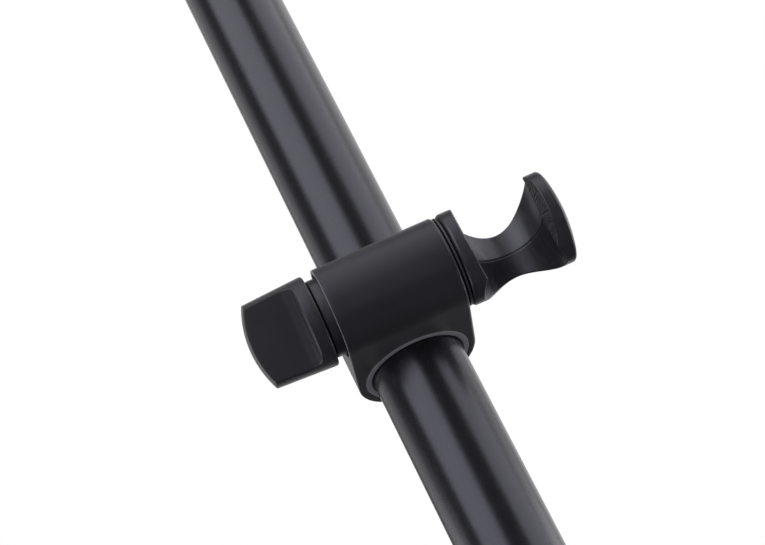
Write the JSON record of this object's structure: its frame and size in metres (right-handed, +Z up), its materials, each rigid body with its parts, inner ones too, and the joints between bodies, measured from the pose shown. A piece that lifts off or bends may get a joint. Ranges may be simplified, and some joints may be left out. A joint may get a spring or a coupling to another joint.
{
  "type": "slide rail with clamp slider and swivel cradle",
  "caption": "Wall slide rail whose clamp slider carries a tightening knob and an open-fronted swivel cradle.",
  "frame": {"origin": "centre of the lower wall plate's back face, on the wall", "axes": "+Z up along the rail, +Y into the wall, +X towards the cradle"},
  "size_m": [0.0869, 0.0915, 0.382],
  "materials": {
    "black_tube": "satin powder coat",
    "black_casting": "fine matt powder coat",
    "black_moulding": "satin moulded",
    "grey_liner": "natural moulded",
    "steel": "turned",
    "brass": "turned",
    "rubber": "moulded",
    "pad": "ground",
    "slip_washer": "stamped"
  },
  "bodies": {
    "rail": {"rail_tube": "black_tube", "lower_end_cap": "black_tube", "lower_cap_ring": "rubber", "lower_bracket": "black_tube", "lower_wall_plate": "steel", "lower_rosette": "black_tube", "lower_grub_screw": "steel", "lower_rail_bolt": "steel", "lower_nut_plate": "steel", "upper_end_cap": "black_tube", "upper_cap_ring": "rubber", "upper_bracket": "black_tube", "upper_wall_plate": "steel", "upper_rosette": "black_tube", "upper_grub_screw": "steel", "upper_rail_bolt": "steel", "upper_nut_plate": "steel"},
    "glide": {"upper_glide_ring": "grey_liner", "lower_glide_ring": "grey_liner"},
    "slider": {"slider_body": "black_casting", "spindle_bush": "black_moulding", "thrust_washer": "slip_washer", "wave_washer": "steel"},
    "knob": {"knob": "black_casting", "knob_insert": "brass", "clamp_spindle": "steel"},
    "wedge": {"wedge_nut": "brass"},
    "brake": {"brake_shoe": "black_moulding", "brake_pad": "pad"},
    "cradle": {"cradle": "black_moulding", "axle_screw": "steel", "axle_insert": "brass", "hub_seal": "rubber", "swivel_washer": "slip_washer"}
  },
  "joints": [
    {"name": "rail_slide", "type": "slide", "parent": "rail", "child": "glide", "axis": [0, 0, 1], "range_m": [-0.094, 0.184]},
    {"name": "rail_turn", "type": "hinge", "parent": "glide", "child": "slider", "pos_m": [0, -0.058, 0.12], "axis": [0, 0, 1], "range_deg": [-60, 60]},
    {"name": "knob_turn", "type": "hinge", "parent": "slider", "child": "knob", "pos_m": [0, -0.079, 0.12], "axis": [-1, 0, 0], "range_deg": [0, 270]},
    {"name": "wedge_travel", "type": "slide", "parent": "slider", "child": "wedge", "axis": [1, 0, 0], "range_m": [0, 0.0008]},
    {"name": "brake_travel", "type": "slide", "parent": "slider", "child": "brake", "axis": [0, -1, 0], "range_m": [0, 0.00018]},
    {"name": "cradle_swivel", "type": "hinge", "parent": "slider", "child": "cradle", "pos_m": [0, -0.079, 0.12], "axis": [1, 0, 0], "range_deg": [-60, 60]}
  ],
  "couplings": [
    {"joint": "wedge_travel", "follows": "knob_turn", "m_per_rad": 0.00015915},
    {"joint": "brake_travel", "follows": "knob_turn", "m_per_rad": 0.000033829}
  ]
}
